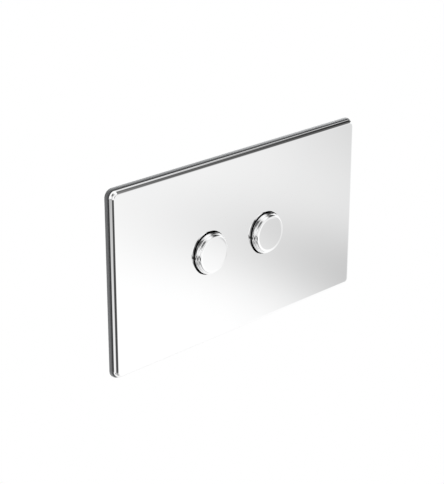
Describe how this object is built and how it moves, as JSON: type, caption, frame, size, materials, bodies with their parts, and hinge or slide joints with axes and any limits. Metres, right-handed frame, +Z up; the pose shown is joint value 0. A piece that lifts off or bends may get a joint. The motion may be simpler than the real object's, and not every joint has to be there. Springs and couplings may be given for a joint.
{
  "type": "flush button plate",
  "caption": "Rectangular chrome wall plate on a grey frame, with round sprung push buttons whose rods work the flush valve of a concealed cistern",
  "frame": {"origin": "on the finished wall's plane, at the middle of the plate and of the line between the two fixing screws", "axes": "+Z is up the wall, +X runs to the right along the plate as seen from the front, and +Y points into the wall, so the chrome face looks along -Y"},
  "size_m": [0.257, 0.0688, 0.1436],
  "materials": {
    "chrome": "polished chrome plating",
    "frame_grey": "satin moulded grey plastic",
    "housing_black": "satin moulded black plastic",
    "natural_plastic": "natural white plastic",
    "steel": "bright zinc-plated and spring steel",
    "foam": "closed-cell foam rubber"
  },
  "bodies": {
    "plate": {"front_plate": "chrome", "mounting_frame": "frame_grey", "wall_seal": "foam", "plate_clips": "steel", "fixing_screws": "steel", "screw_washers": "steel", "left_button_housing": "housing_black", "right_button_housing": "housing_black", "left_return_spring": "steel", "right_return_spring": "steel"},
    "left_button": {"left_button_cap": "chrome", "left_button_stem": "natural_plastic", "left_retaining_clip": "steel", "left_push_rod": "natural_plastic", "left_lock_nut": "natural_plastic"},
    "right_button": {"right_button_cap": "chrome", "right_button_stem": "natural_plastic", "right_retaining_clip": "steel", "right_push_rod": "natural_plastic", "right_lock_nut": "natural_plastic"}
  },
  "joints": [
    {"name": "left_button_press", "type": "slide", "parent": "plate", "child": "left_button", "axis": [0, 1, 0], "range_m": [0, 0.0045], "stiffness_N_per_m": 600, "springref_m": -0.005, "deforming": ["left_return_spring"]},
    {"name": "right_button_press", "type": "slide", "parent": "plate", "child": "right_button", "axis": [0, 1, 0], "range_m": [0, 0.0045], "stiffness_N_per_m": 600, "springref_m": -0.005, "deforming": ["right_return_spring"]}
  ]
}
